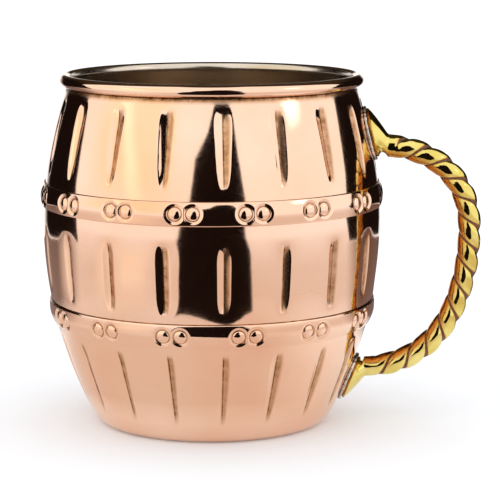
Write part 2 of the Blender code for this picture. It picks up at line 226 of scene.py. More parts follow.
@dataclass(frozen=True)
class SpunNickel:
    """Nickel lining, spun and lightly brushed round the cup.

    The eye gets a soft, warm grey mirror with fine rings round the wall.
    """

    name: str = "spun_satin_nickel"
    pale: str = "#e5d7ca"
    deep: str = "#cabda9"
    roughness: float = 0.2
    cloud_size: float = 26.0 * MM
    ring_pitch: float = 0.5 * MM  # real brushing is about 0.05 mm; drawn coarser so that it shows
    ring_stretch: float = 0.06  # the rings run this much slower round the wall than up it
    ring_height: float = 0.02 * MM

    def build(self) -> bpy.types.Material:
        """Make the material.

        Returns:
            A satin metal with rings that follow the cup's height.
        """
        material, shader, place = start_finish(self.name)
        tree = material.node_tree
        shader.inputs["Metallic"].default_value = 1.0
        cloud = add_node(tree, "ShaderNodeTexNoise", inputs={
            "Vector": place, "Scale": 1.0 / self.cloud_size, "Detail": 4.0}).outputs["Fac"]
        tone = add_ramp(tree, cloud, [(0.3, linear(self.pale)), (0.75, linear(self.deep))])
        tree.links.new(tone, shader.inputs["Base Color"])
        stretch = add_node(tree, "ShaderNodeMapping", inputs={
            "Vector": place, "Scale": (self.ring_stretch, self.ring_stretch, 1.0)}).outputs["Vector"]
        rings = add_node(tree, "ShaderNodeTexNoise", inputs={
            "Vector": stretch, "Scale": 1.0 / self.ring_pitch, "Detail": 3.0}).outputs["Fac"]
        rough = add_node(tree, "ShaderNodeMapRange", inputs={
            "Value": rings, "To Min": self.roughness * 0.7,
            "To Max": self.roughness * 1.5}).outputs["Result"]
        tree.links.new(rough, shader.inputs["Roughness"])
        bump = add_node(tree, "ShaderNodeBump", inputs={
            "Strength": 0.12, "Distance": self.ring_height, "Height": rings}).outputs["Normal"]
        tree.links.new(bump, shader.inputs["Normal"])
        return material


@dataclass(frozen=True)
class CastBrass:
    """Sand-cast brass, polished on the crowns and left dull in the rope's grooves.

    The eye gets a pale lemon mirror that turns amber towards the grooves and, as painted shade, on the
    side facing the mug, and dull brown channels with the grain of the casting.
    """

    name: str = "polished_cast_brass"
    crown: str = "#f2e08c"
    deep: str = "#dfc560"
    amber: str = "#b87420"
    patina: str = "#84604a"
    stain: str = "#4a3420"
    roughness: float = 0.075
    cloud_size: float = 9.0 * MM
    grain_size: float = 0.35 * MM
    dimple_size: float = 2.6 * MM
    amber_full: float = 0.45  # crease at which the amber is full and the dull patina starts
    dull_full: float = 0.9
    dull_metallic: float = 0.55
    dull_roughness: float = 0.55
    dimple_height: float = 0.25 * MM
    pit_height: float = 0.12 * MM

    def build(self) -> bpy.types.Material:
        """Make the material.

        Returns:
            A metal that turns amber and then to dull patina by the mesh's crease attribute.
        """
        material, shader, place = start_finish(self.name)
        tree = material.node_tree
        crease = add_node(tree, "ShaderNodeAttribute", {"attribute_name": "crease"}).outputs["Fac"]
        cloud = add_node(tree, "ShaderNodeTexNoise", inputs={
            "Vector": place, "Scale": 1.0 / self.cloud_size, "Detail": 3.0}).outputs["Fac"]
        grain = add_node(tree, "ShaderNodeTexNoise", inputs={
            "Vector": place, "Scale": 1.0 / self.grain_size, "Detail": 4.0}).outputs["Fac"]
        polished = add_ramp(tree, cloud, [(0.35, linear(self.crown)), (0.7, linear(self.deep))])
        dull = add_ramp(tree, grain, [(0.35, linear(self.stain)), (0.6, linear(self.patina))])
        tarnish = add_node(tree, "ShaderNodeMapRange", inputs={
            "Value": crease, "From Max": self.amber_full}).outputs["Result"]
        dirt = add_node(tree, "ShaderNodeMapRange", inputs={
            "Value": crease, "From Min": self.amber_full, "From Max": self.dull_full}).outputs["Result"]
        toned = add_node(tree, "ShaderNodeMix", {"data_type": "RGBA"}, {
            0: tarnish, 6: polished, 7: linear(self.amber)}).outputs[2]
        color = add_node(tree, "ShaderNodeMix", {"data_type": "RGBA"}, {
            0: dirt, 6: toned, 7: dull}).outputs[2]
        tree.links.new(color, shader.inputs["Base Color"])
        metal = add_node(tree, "ShaderNodeMapRange", inputs={
            "Value": dirt, "To Min": 1.0, "To Max": self.dull_metallic}).outputs["Result"]
        tree.links.new(metal, shader.inputs["Metallic"])
        rough = add_node(tree, "ShaderNodeMapRange", inputs={
            "Value": dirt, "To Min": self.roughness, "To Max": self.dull_roughness}).outputs["Result"]
        tree.links.new(rough, shader.inputs["Roughness"])
        dimples = add_node(tree, "ShaderNodeTexNoise", inputs={
            "Vector": place, "Scale": 1.0 / self.dimple_size, "Detail": 1.0}).outputs["Fac"]
        hollow = add_node(tree, "ShaderNodeBump", inputs={
            "Strength": 0.22, "Distance": self.dimple_height, "Height": dimples}).outputs["Normal"]
        pits = add_node(tree, "ShaderNodeMath", {"operation": "MULTIPLY"}, {
            0: grain, 1: crease}).outputs["Value"]
        rugged = add_node(tree, "ShaderNodeBump", inputs={
            "Strength": 0.7, "Distance": self.pit_height,
            "Height": pits, "Normal": hollow}).outputs["Normal"]
        tree.links.new(rugged, shader.inputs["Normal"])
        return material


@dataclass(frozen=True)
class SilverSolder:
    """Silver solder run round a pad by torch.

    The eye gets a bright grey bead with small ripples and duller, slightly brown patches of flux.
    """

    name: str = "torch_run_silver_solder"
    bright: str = "#d5d3cc"
    flux: str = "#8d7f70"
    roughness: float = 0.22
    ripple_size: float = 0.8 * MM
    ripple_height: float = 0.15 * MM

    def build(self) -> bpy.types.Material:
        """Make the material.

        Returns:
            A rippled grey metal.
        """
        material, shader, place = start_finish(self.name)
        tree = material.node_tree
        shader.inputs["Metallic"].default_value = 1.0
        ripple = add_node(tree, "ShaderNodeTexNoise", inputs={
            "Vector": place, "Scale": 1.0 / self.ripple_size, "Detail": 3.0}).outputs["Fac"]
        tone = add_ramp(tree, ripple, [(0.45, linear(self.bright)), (0.72, linear(self.flux))])
        tree.links.new(tone, shader.inputs["Base Color"])
        rough = add_node(tree, "ShaderNodeMapRange", inputs={
            "Value": ripple, "To Min": self.roughness * 0.7,
            "To Max": self.roughness * 2.0}).outputs["Result"]
        tree.links.new(rough, shader.inputs["Roughness"])
        bump = add_node(tree, "ShaderNodeBump", inputs={
            "Strength": 0.4, "Distance": self.ripple_height, "Height": ripple}).outputs["Normal"]
        tree.links.new(bump, shader.inputs["Normal"])
        return material


# --- mesh helpers ------------------------------------------------------------------------------


def smooth_step(value: np.ndarray, low: float, high: float) -> np.ndarray:
    """A soft step from 0 at low to 1 at high."""
    share = np.clip((value - low) / (high - low), 0.0, 1.0)
    return share * share * (3.0 - 2.0 * share)


def skin(name: str, rings: np.ndarray, crease: np.ndarray | None = None,
         looped: bool = False) -> bpy.types.Object:
    """Join closed rings of points into one closed, smooth, outward-facing solid.

    Args:
        name: The piece's name.
        rings: Points as ring, place round the ring, and coordinate.
        crease: How brown each point is, from 0 to 1, in the same order: wear, dirt and painted shade.
        looped: True if the last ring joins the first, False if both ends are capped.

    Returns:
        The new object, linked to the scene.
    """
    count, around = rings.shape[:2]
    points = rings.reshape(-1, 3)
    dirt_and_shade = np.zeros(count * around)
    if crease is not None:
        dirt_and_shade = np.broadcast_to(crease, (count, around)).reshape(-1)
    index = np.arange(count * around).reshape(count, around)
    low = index if looped else index[:-1]
    high = np.roll(index, -1, axis=0) if looped else index[1:]
    quads = np.stack([low, np.roll(low, -1, axis=1), np.roll(high, -1, axis=1), high], axis=-1)
    faces = quads.reshape(-1, 4).tolist()
    if not looped:
        for ring, flip in ((0, False), (count - 1, True)):
            points = np.vstack([points, rings[ring].mean(axis=0)])
            dirt_and_shade = np.append(dirt_and_shade, dirt_and_shade[ring * around])
            middle = len(points) - 1
            here = index[ring]
            there = np.roll(here, -1)
            pair = (here, there) if flip else (there, here)
            faces += [(middle, int(a), int(b)) for a, b in zip(*pair)]
    return solid(name, points, faces, dirt_and_shade)


def solid(name: str, points: np.ndarray, faces: list, dirt_and_shade: np.ndarray) -> bpy.types.Object:
    """Make a smooth object from points and faces, with its faces turned outward.

    Args:
        name: The piece's name.
        points: One row of coordinates for each point.
        faces: Corner numbers of each face.
        dirt_and_shade: The crease attribute of each point.

    Returns:
        The new object, linked to the scene.
    """
    mesh = bpy.data.meshes.new(name)
    mesh.from_pydata(points.tolist(), [], faces)
    attribute = mesh.attributes.new("crease", "FLOAT", "POINT")
    attribute.data.foreach_set("value", np.asarray(dirt_and_shade, dtype=np.float32))
    work = bmesh.new()
    work.from_mesh(mesh)
    bmesh.ops.recalc_face_normals(work, faces=work.faces)
    work.to_mesh(mesh)
    work.free()
    mesh.shade_smooth()
    item = bpy.data.objects.new(name, mesh)
    bpy.context.scene.collection.objects.link(item)
    return item


def dress(item: bpy.types.Object, material: bpy.types.Material, slot: Slot, *nodes: str) -> None:
    """Give a piece its finish, hang it from the root body and hide the CAD nodes that it stands for.

    Args:
        item: The piece.
        material: Its finish.
        slot: The record's slot that the finish belongs to; not used.
        nodes: The CAD nodes that the piece replaces.
    """
    item.data.materials.append(material)
    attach(item, "root")
    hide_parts(*nodes)
    LOG.info("%s: %d points, for %s", item.name, len(item.data.vertices), ", ".join(nodes))


def lathed(radius: np.ndarray, turn: np.ndarray, height: np.ndarray) -> np.ndarray:
    """Points at each radius, angle and height round the axis.

    Args:
        radius: Distances from the axis.
        turn: Angles from the handle, in radians.
        height: Heights, in the full shape of the result.

    Returns:
        Coordinates, in the last axis.
    """
    return np.stack([radius * np.cos(turn), radius * np.sin(turn), height], axis=-1)


def cubic(corners: list[tuple[float, float]], share: np.ndarray) -> np.ndarray:
    """Points on a plane cubic curve.

    Args:
        corners: Start, its handle, the end's handle and the end.
        share: How far along each point lies, from 0 to 1.

    Returns:
        One row of two coordinates for each share.
    """
    back = 1.0 - share
    weights = np.stack([back ** 3, 3.0 * back ** 2 * share, 3.0 * back * share ** 2, share ** 3], axis=-1)
    return weights @ np.array(corners)


# --- the cup's shape ---------------------------------------------------------------------------


@dataclass(frozen=True)
class BarrelWall:
    """The outside of the drawn cup, hoops and flutes left out."""

    height: float
    belly_radius: float
    belly_height: float = 58.0 * MM
    foot_radius: float = 33.2 * MM
    base_radius: float = 30.0 * MM
    foot_round_height: float = 4.5 * MM
    neck_radius: float = 40.65 * MM
    lower_fullness: float = 0.9
    upper_fullness: float = 1.2
    sheet: float = 0.8 * MM
    rim_radius: float = 1.75 * MM

    @property
    def rim_height(self) -> float:
        """Height of the middle of the rolled rim."""
        return self.height - self.rim_radius

    @property
    def roll_hollow(self) -> float:
        """Radius of the hollow inside the rolled rim."""
        return self.rim_radius - self.sheet

    @property
    def neck_lean(self) -> float:
        """How far the wall leans inward where it enters the roll, in radians."""
        climb = self.rim_height - self.belly_height
        return math.atan((self.belly_radius - self.neck_radius) * (3.0 - self.upper_fullness) / climb)

    @property
    def neck_height(self) -> float:
        """Height at which the wall enters the roll."""
        return self.rim_height - self.roll_hollow * math.sin(self.neck_lean)

    @property
    def rim_ring(self) -> float:
        """Distance of the middle of the rolled rim from the cup's axis."""
        return self.neck_radius + self.roll_hollow * math.cos(self.neck_lean)

    def radius(self, level: np.ndarray) -> np.ndarray:
        """Radius of the wall at each height.

        Args:
            level: Heights.

        Returns:
            Distances from the axis.
        """
        below = np.asarray(level) < self.belly_height
        run = np.where(below, (self.belly_height - level) / self.belly_height,
                       (level - self.belly_height) / (self.neck_height - self.belly_height))
        swell = self.belly_radius - np.where(below, self.foot_radius, self.neck_radius)
        fullness = np.where(below, self.lower_fullness, self.upper_fullness)
        return self.belly_radius - swell * run ** 2 * (fullness + (1.0 - fullness) * run)

    def normal(self, level: np.ndarray) -> tuple[np.ndarray, np.ndarray]:
        """Outward direction of the wall at each height.

        Args:
            level: Heights.

        Returns:
            The radial and the vertical part.
        """
        step = 0.01 * MM
        slope = (self.radius(level + step) - self.radius(level - step)) / (2.0 * step)
        length = np.hypot(1.0, slope)
        return 1.0 / length, -slope / length

    def point(self, turn: np.ndarray, level: np.ndarray, proud: np.ndarray) -> np.ndarray:
        """Points a distance proud of the wall.

        Args:
            turn: Angles from the handle, in radians.
            level: Heights.
            proud: Distances out from the wall.

        Returns:
            Coordinates, in the last axis.
        """
        out, up = self.normal(level)
        radius = self.radius(level) + proud * out
        return lathed(radius, turn, level + proud * up + 0.0 * turn)

    def foot(self, share: np.ndarray, proud: float = 0.0) -> tuple[np.ndarray, np.ndarray]:
        """The rounded foot, from the base disc (0) up to the wall (1).

        Args:
            share: How far round the foot, from 0 to 1.
            proud: Distance out from the surface.

        Returns:
            Radii and heights.
        """
        top = (float(self.radius(self.foot_round_height)), self.foot_round_height)
        out, up = self.normal(self.foot_round_height)
        reach = 0.6 * (top[0] - self.base_radius)
        corners = [(self.base_radius, 0.0), (self.base_radius + reach, 0.0),
                   (top[0] + up * reach, top[1] - out * reach * 0.8), top]
        spot = cubic(corners, share)
        lean = share * math.atan2(out, -up)
        return spot[:, 0] + proud * np.sin(lean), spot[:, 1] - proud * np.cos(lean)


@dataclass(frozen=True)
class FluteRow:
    """One row of hollows pressed inward into the wall."""

    low: float
    high: float
    half_width: float
    depth: float
    bottom_taper: float
    top_taper: float
    narrowing: float = 0.3  # how much narrower the hollow is at its lower end
    soft_width: float = 4.8 * MM  # half width of the shallow hollow that the wall sinks into round it
    soft_depth: float = 0.1 * MM
    # how brown one side of each hollow is: tarnish and painted shade
    stain: float = 0.3
    line_core: float = 0.06 * MM  # half width of the full dark line along the bottom, tarnish and painted shade
    line_edge: float = 0.42 * MM

    def shape(self, across: np.ndarray, level: np.ndarray) -> tuple[np.ndarray, np.ndarray]:
        """Depth of the row's hollows.

        Args:
            across: Distance from the nearest hollow's middle line, positive on one side.
            level: Heights.

        Returns:
            The depth, and how brown each point is from 0 to 1: tarnish and painted shade.
        """
        from_low = np.clip((level - self.low) / self.bottom_taper, 0.0, 1.0)
        from_high = np.clip((self.high - level) / self.top_taper, 0.0, 1.0)
        ends = (1.0 - (1.0 - from_low) ** 2) * (1.0 - (1.0 - from_high) ** 2)
        rise = np.clip((level - self.low) / (self.high - self.low), 0.0, 1.0)
        narrow = 1.0 - self.narrowing * (1.0 - rise)
        width = self.half_width * narrow * (0.5 + 0.5 * np.sqrt(ends)) + 1e-9
        away = np.abs(across)
        share = np.clip(np.sqrt(away ** 2 + (0.05 * MM) ** 2) / width, 0.0, 1.0)
        groove = self.depth * ends * (1.0 - share) * (1.0 + 0.4 * share)
        reach = 0.5 * (self.high - self.low) + 1.5 * MM
        along = np.clip(np.abs(level - 0.5 * (self.low + self.high)) / reach, 0.0, 1.0)
        side = np.clip(away / self.soft_width, 0.0, 1.0)
        soft = self.soft_depth * (1.0 - along ** 4) ** 2 * (1.0 - side ** 2) ** 2
        # a dark line along each hollow's bottom and brown on one side: tarnish and painted shade
        line = 0.95 * (1.0 - smooth_step(away, self.line_core, self.line_edge))
        far_side = self.stain * smooth_step(across, 0.0, 0.2 * MM) * smooth_step(1.0 - share, 0.0, 0.45)
        return groove + soft, np.maximum(line, far_side) * smooth_step(ends, 0.0, 0.5)


@dataclass(frozen=True)
class Fluting:
    """All the pressed hollows of the cup."""

    wall: BarrelWall
    around: int = 18
    rows: tuple[FluteRow, ...] = (
        FluteRow(low=5.6 * MM, high=27.2 * MM, half_width=2.2 * MM, depth=0.56 * MM,
                 bottom_taper=13.0 * MM, top_taper=6.0 * MM, narrowing=0.4,
                 soft_depth=0.14 * MM, stain=0.6),
        FluteRow(low=38.2 * MM, high=57.8 * MM, half_width=2.0 * MM, depth=0.74 * MM,
                 bottom_taper=5.5 * MM, top_taper=5.0 * MM, narrowing=0.1,
                 soft_width=5.2 * MM, soft_depth=0.28 * MM, stain=0.7),
        FluteRow(low=72.4 * MM, high=93.4 * MM, half_width=2.5 * MM, depth=0.92 * MM,
                 bottom_taper=7.5 * MM, top_taper=4.5 * MM, narrowing=0.38,
                 soft_width=4.4 * MM, soft_depth=0.05 * MM, stain=0.7),
    )

    def depth(self, turn: np.ndarray, level: np.ndarray) -> tuple[np.ndarray, np.ndarray]:
        """Depth of the hollows, and their browning by dirt and painted shade, at each angle and height.

        Args:
            turn: Angles from the handle, in radians.
            level: Heights.

        Returns:
            The depth, and the dirt and painted shade from 0 to 1.
        """
        pitch = 2.0 * math.pi / self.around
        across = ((turn + pitch / 2.0) % pitch - pitch / 2.0) * self.wall.radius(level)
        total = np.zeros(np.broadcast(turn, level).shape)
        dirt_and_shade = np.zeros_like(total)
        for row in self.rows:
            groove, dirt = row.shape(across, level)
            total = total + groove
            dirt_and_shade = np.maximum(dirt_and_shade, dirt)
        return total, dirt_and_shade

    def turns(self, fine: int, coarse: int, reach: float) -> np.ndarray:
        """Angles round the cup, closer together towards the middle of each hollow.

        Args:
            fine: Steps across each hollow.
            coarse: Steps between two hollows.
            reach: Half width of the stretch with the fine steps, as a share of the pitch.

        Returns:
            The angles, from 0 to just under a full turn.
        """
        pitch = 2.0 * math.pi / self.around
        even = np.linspace(-1.0, 1.0, fine, endpoint=False)
        near = reach * np.sign(even) * np.abs(even) ** 1.4
        far = np.linspace(reach, 1.0 - reach, coarse, endpoint=False)
        one = np.concatenate([near, far]) * pitch
        return (np.arange(self.around)[:, None] * pitch + one).reshape(-1)


@dataclass
class CupShell:
    """The drawn copper shell with its flutes, rounded foot and rolled rim."""

    wall: BarrelWall
    fluting: Fluting
    fine: int = 26  # steps across each flute, and between two
    coarse: int = 8
    fine_reach: float = 0.19  # of the pitch, on either side of a flute
    wall_rows: int = 170
    foot_rows: int = 12
    inside_rows: int = 48
    roll_steps: int = 44
    base_hollow: float = 0.5 * MM  # the base is pressed up a little inside its standing ring
    rim_shade_start: float = 3.3 * MM  # below the rolled rim, where the painted shade under it starts and is full
    rim_shade_full: float = 1.9 * MM

    def rim_shade_heights(self) -> tuple[float, float]:
        """Heights at which the painted shade under the rim starts and is full."""
        return self.wall.neck_height - self.rim_shade_start, self.wall.neck_height - self.rim_shade_full

    def build(self) -> bpy.types.Object:
        """Turn the whole section of the sheet round the axis.

        Returns:
            The closed shell.
        """
        wall = self.wall
        turns = self.fluting.turns(self.fine, self.coarse, self.fine_reach)[None, :]
        rings, dirt_and_shade = [], []

        def lathe(radius: np.ndarray, level: np.ndarray, dirt: np.ndarray) -> None:
            """Add plain rings of the given radii, heights and browning by dirt and painted shade."""
            rings.append(lathed(radius[:, None], turns, level[:, None] + 0.0 * turns))
            dirt_and_shade.append(dirt[:, None] + 0.0 * turns)

        def press(level: np.ndarray, inset: float) -> None:
            """Add fluted rings.

            Args:
                level: Their heights.
                inset: How far in from the outside they lie.
            """
            depth, dirt = self.fluting.depth(turns, level[:, None])
            rings.append(wall.point(turns, level[:, None], -inset - depth))
            # painted shade: the outer wall browns just under the rolled rim
            rim_shade = smooth_step(level, *self.rim_shade_heights())[:, None]
            dirt_and_shade.append(np.maximum(dirt, 0.9 * rim_shade) if inset == 0.0 else 0.0 * dirt)

        disc = np.array([0.02, 0.25, 0.5, 0.75, 0.86, 0.90, 0.93, 0.96])
        rise = self.base_hollow * (1.0 - smooth_step(disc, 0.86, 0.96))
        lathe(disc * wall.base_radius, rise, 0.25 * smooth_step(-disc, -0.97, -0.86))
        outer_foot = wall.foot(np.linspace(0.0, 1.0, self.foot_rows, endpoint=False))
        lathe(*outer_foot, np.zeros(self.foot_rows))
        press(np.linspace(wall.foot_round_height, wall.neck_height, self.wall_rows), 0.0)
        start, end = math.pi + wall.neck_lean, -math.pi / 2.0
        rolls = ((wall.roll_hollow, start, end, 1.0), (wall.rim_radius, end, start, 0.0))
        for radius, first, last, dirt in rolls:
            angle = np.linspace(first, last, self.roll_steps)
            # the hollow inside the roll is browned in full, and painted shade fades up the outer roll from
            # its underside
            rim_shade = np.maximum(dirt, 1.0 - smooth_step(angle, end + 0.1, end + 0.75))
            out = wall.rim_ring + radius * np.cos(angle)
            lathe(out, wall.rim_height + radius * np.sin(angle), rim_shade)
        inside = np.linspace(wall.neck_height - 1.0 * MM, wall.foot_round_height, self.inside_rows)
        press(inside, wall.sheet)
        inner_foot = wall.foot(np.linspace(1.0, 0.0, self.foot_rows)[1:], -wall.sheet)
        lathe(*inner_foot, np.zeros(self.foot_rows - 1))
        lathe(disc[::-1] * wall.base_radius, wall.sheet + rise[::-1], np.zeros(len(disc)))
        return skin("copper_shell", np.concatenate(rings), np.concatenate(dirt_and_shade))


@dataclass
class CupLining:
    """The thin nickel cup inside the shell, pressed with it."""

    wall: BarrelWall
    fluting: Fluting
    gap: float = 0.12 * MM
    sheet: float = 0.5 * MM
    lap: float = math.radians(40.0)  # past level, over the inner shoulder of the rolled rim
    fine: int = 16  # steps across each flute, and between two
    coarse: int = 5
    fine_reach: float = 0.2  # of the pitch, on either side of a flute
    foot_rows: int = 10
    rows: int = 120
    lap_steps: int = 20
    base_hollow: float = 0.5 * MM

    def build(self) -> bpy.types.Object:
        """Turn both faces of the lining round the axis.

        Returns:
            The closed lining.
        """
        wall = self.wall
        turns = self.fluting.turns(self.fine, self.coarse, self.fine_reach)[None, :]
        outside = wall.sheet + self.gap
        inside = outside + self.sheet
        levels = np.linspace(wall.foot_round_height, wall.neck_height - 0.8 * MM, self.rows)
        disc = np.array([0.02, 0.3, 0.6, 0.84, 0.90, 0.95])
        rings = []
        for inset, way in ((outside, 1), (inside, -1)):
            share = np.linspace(0.0, 1.0, self.foot_rows, endpoint=False)
            foot_radius, foot_height = wall.foot(share, -inset)
            hollow = inset + self.base_hollow * (1.0 - smooth_step(disc, 0.84, 0.95))
            radius = np.concatenate([disc * wall.base_radius, foot_radius])[:, None]
            height = np.concatenate([hollow, foot_height])[:, None]
            low = lathed(radius, turns, height + 0.0 * turns)
            depth = self.fluting.depth(turns, levels[:, None])[0]
            high = wall.point(turns, levels[:, None], -inset - depth)
            bend = np.linspace(math.pi + wall.neck_lean, math.pi - self.lap, self.lap_steps)[:, None]
            curl = wall.rim_radius + inset - wall.sheet
            out = wall.rim_ring + curl * np.cos(bend)
            lap = lathed(out, turns, wall.rim_height + curl * np.sin(bend) + 0.0 * turns)
            rings.append(np.concatenate([low, high, lap])[::way])
        return skin("nickel_lining", np.concatenate(rings))


# --- hoops and rivets ----------------------------------------------------------------------------


@dataclass
class Hoop:
    """A convex copper band round the wall, dished where each pair of rivets sits."""

    wall: BarrelWall
    name: str
    middle: float
    width: float
    pairs: int
    first_turn: float
    gap: float = 0.06 * MM
    edge: float = 0.50 * MM
    crown: float = 0.62 * MM
    crown_blunt: float = 0.12  # rounds the crown's peak, as a share of the half width
    crown_power: float = 1.6
    corner: float = 0.28 * MM
    spacing: float = 4.8 * MM  # between the two rivets of a pair
    dish_radius: float = 2.75 * MM
    dish_depth: float = 0.42 * MM
    head_radius: float = 1.78 * MM
    ring_width: float = 0.24 * MM
    ring_depth: float = 0.16 * MM
    fine: int = 66
    coarse: int = 10
    rows: int = 46

    def turns(self) -> np.ndarray:
        """Angles round the hoop, closer together across each pair of rivets.

        Returns:
            The angles, over one full turn.
        """
        pitch = 2.0 * math.pi / self.pairs
        reach = (self.spacing / 2.0 + self.dish_radius + 0.3 * MM) / float(self.wall.radius(self.middle))
        near = np.linspace(-reach, reach, self.fine, endpoint=False)
        far = np.linspace(reach, pitch - reach, self.coarse, endpoint=False)
        pairs = self.first_turn + np.arange(self.pairs)[:, None] * pitch
        return (pairs + np.concatenate([near, far])).reshape(-1)

    def crown_rise(self, level: np.ndarray) -> np.ndarray:
        """How proud of the wall the undished hoop is at each height."""
        share = np.clip((level - self.middle) / (self.width / 2.0), -1.0, 1.0)
        return self.edge + self.crown * (1.0 - np.hypot(share, self.crown_blunt) ** self.crown_power)

    def dish(self, turn: np.ndarray, level: np.ndarray) -> tuple[np.ndarray, np.ndarray]:
        """Depth of the rivet seats, and the brown round the rivet heads: dirt and painted shade.

        Args:
            turn: Angles from the handle.
            level: Heights.

        Returns:
            The depth, and the brown from 0 to 1.
        """
        pitch = 2.0 * math.pi / self.pairs
        off = (turn - self.first_turn + pitch / 2.0) % pitch - pitch / 2.0
        across = off * self.wall.radius(self.middle)
        away = np.hypot(np.abs(across) - self.spacing / 2.0, level - self.middle)
        bowl = np.clip(1.0 - (away / self.dish_radius) ** 2, 0.0, 1.0) ** 0.8
        ring = np.clip(1.0 - np.abs(away - self.head_radius - 0.1 * MM) / self.ring_width, 0.0, 1.0)
        return self.dish_depth * np.minimum(bowl * 1.5, 1.0) + self.ring_depth * ring, ring

    def build(self) -> bpy.types.Object:
        """Sweep the hoop's section round the wall.

        Returns:
            The closed band.
        """
        wall, half = self.wall, self.width / 2.0
        turns = self.turns()[None, :]
        low, high = self.middle - half, self.middle + half
        bend = np.linspace(0.0, math.pi / 2.0, 6)
        inner = self.corner * (1.0 - np.cos(bend))
        rise = self.edge - self.corner * (1.0 - np.sin(bend))
        face = np.linspace(low + self.corner, high - self.corner, self.rows)[1:-1]
        levels = np.concatenate([[low], low + inner, face, (high - inner)[::-1], [high]])
        crown = self.crown_rise(levels) - self.edge
        prouds = np.concatenate([[self.gap], rise, np.full(len(face), self.edge), rise[::-1], [self.gap]])
        prouds = prouds + crown * smooth_step(prouds, 0.5 * self.edge, self.edge)
        depth, dirt = self.dish(turns, levels[:, None])
        inside = smooth_step(np.minimum(levels - low, high - levels), 0.0, self.corner)[:, None]
        outer = wall.point(turns, levels[:, None], prouds[:, None] - depth * inside)
        back = np.linspace(high, low, 5)[:, None]
        inner_face = wall.point(turns, back, self.gap * np.ones_like(back))[1:-1]
        # the band's edges, its hidden inner face and the rings round the rivets are browned: dirt and
        # painted shade where band, wall and heads meet
        edge_dirt_and_shade = 1.0 - smooth_step(np.minimum(levels - low, high - levels), 0.0, 0.12 * MM)
        dirt_and_shade = np.maximum(0.9 * dirt, edge_dirt_and_shade[:, None])
        crease = np.concatenate([dirt_and_shade, np.ones((3, turns.shape[1]))])
        return skin(self.name, np.concatenate([outer, inner_face]), crease, looped=True)


@dataclass
class RivetPair:
    """Two domed copper rivet heads in one seat of a hoop."""

    hoop: Hoop
    name: str
    turn: float
    rise: float = 0.02 * MM  # of the crown over the undished hoop
    head_height: float = 0.56 * MM
    dome: float = 1.18  # how far each dome curves over from its crown to its edge, in radians
    skirt_spread: float = 0.97  # the last ring, sunk in the hoop: of the head's radius
    skirt_drop: float = 1.5  # and of its height
    sides: int = 40
    rings: int = 12

    def build(self) -> bpy.types.Object:
        """Raise both heads from the floor of their seat.

        Returns:
            One object with two closed domes.
        """
        hoop = self.hoop
        radius = float(hoop.wall.radius(hoop.middle))
        around = np.linspace(0.0, 2.0 * math.pi, self.sides, endpoint=False)
        points, faces, dirt_and_shade = [], [], []
        for side in (-1.0, 1.0):
            start = sum(len(part) for part in points)
            lean = np.linspace(0.02, 1.0, self.rings)
            spread = np.sin(lean * self.dome) / math.sin(self.dome)
            drop = (1.0 - np.cos(lean * self.dome)) / (1.0 - math.cos(self.dome))
            spread = np.append(spread, self.skirt_spread)
            drop = np.append(drop, self.skirt_drop)
            across = side * hoop.spacing / 2.0 + hoop.head_radius * spread[:, None] * np.cos(around)
            up = hoop.head_radius * spread[:, None] * np.sin(around)
            top = float(hoop.crown_rise(np.array(hoop.middle))) + self.rise
            proud = np.maximum(top - self.head_height * drop, hoop.gap)[:, None] + 0.0 * across
            spot = hoop.wall.point(self.turn + across / radius, hoop.middle + up, proud)
            part = spot.reshape(-1, 3)
            count = len(spread)
            part = np.vstack([part, spot[0].mean(axis=0), spot[-1].mean(axis=0)])
            points.append(part)
            # the sunk foot of each head is browned: dirt and painted shade where it meets the hoop
            dirt_and_shade.append(np.append(np.repeat(np.where(drop > 0.93, 0.7, 0.0), self.sides), [0.0, 0.7]))
            for ring in range(count - 1):
                for corner in range(self.sides):
                    after = (corner + 1) % self.sides
                    low, high = start + ring * self.sides, start + (ring + 1) * self.sides
                    faces.append((low + corner, low + after, high + after, high + corner))
            crown, under = start + count * self.sides, start + count * self.sides + 1
            for corner in range(self.sides):
                after = (corner + 1) % self.sides
                faces.append((crown, start + after, start + corner))
                last = start + (count - 1) * self.sides
                faces.append((under, last + corner, last + after))
        return solid(self.name, np.concatenate(points), faces, np.concatenate(dirt_and_shade))


# --- handle ------------------------------------------------------------------------------------


@dataclass(frozen=True)
class Pad:
    """An oval pad that joins the handle to the wall."""

    height: float
    half_width: float
    half_height: float
    edge: float = 1.4 * MM

    def ring(self, wall: BarrelWall, angle: np.ndarray, spread: float, proud: float) -> np.ndarray:
        """Points round the pad's oval, on or off the wall.

        Args:
            wall: The wall it stands on.
            angle: Places round the oval, from its top.
            spread: Size as a share of the pad's own.
            proud: Distance out from the wall.

        Returns:
            Coordinates, in the last axis.
        """
        across = spread * self.half_width * np.sin(angle)
        up = spread * self.half_height * np.cos(angle)
        return wall.point(across / wall.radius(self.height), self.height + up, np.full(angle.shape, proud))


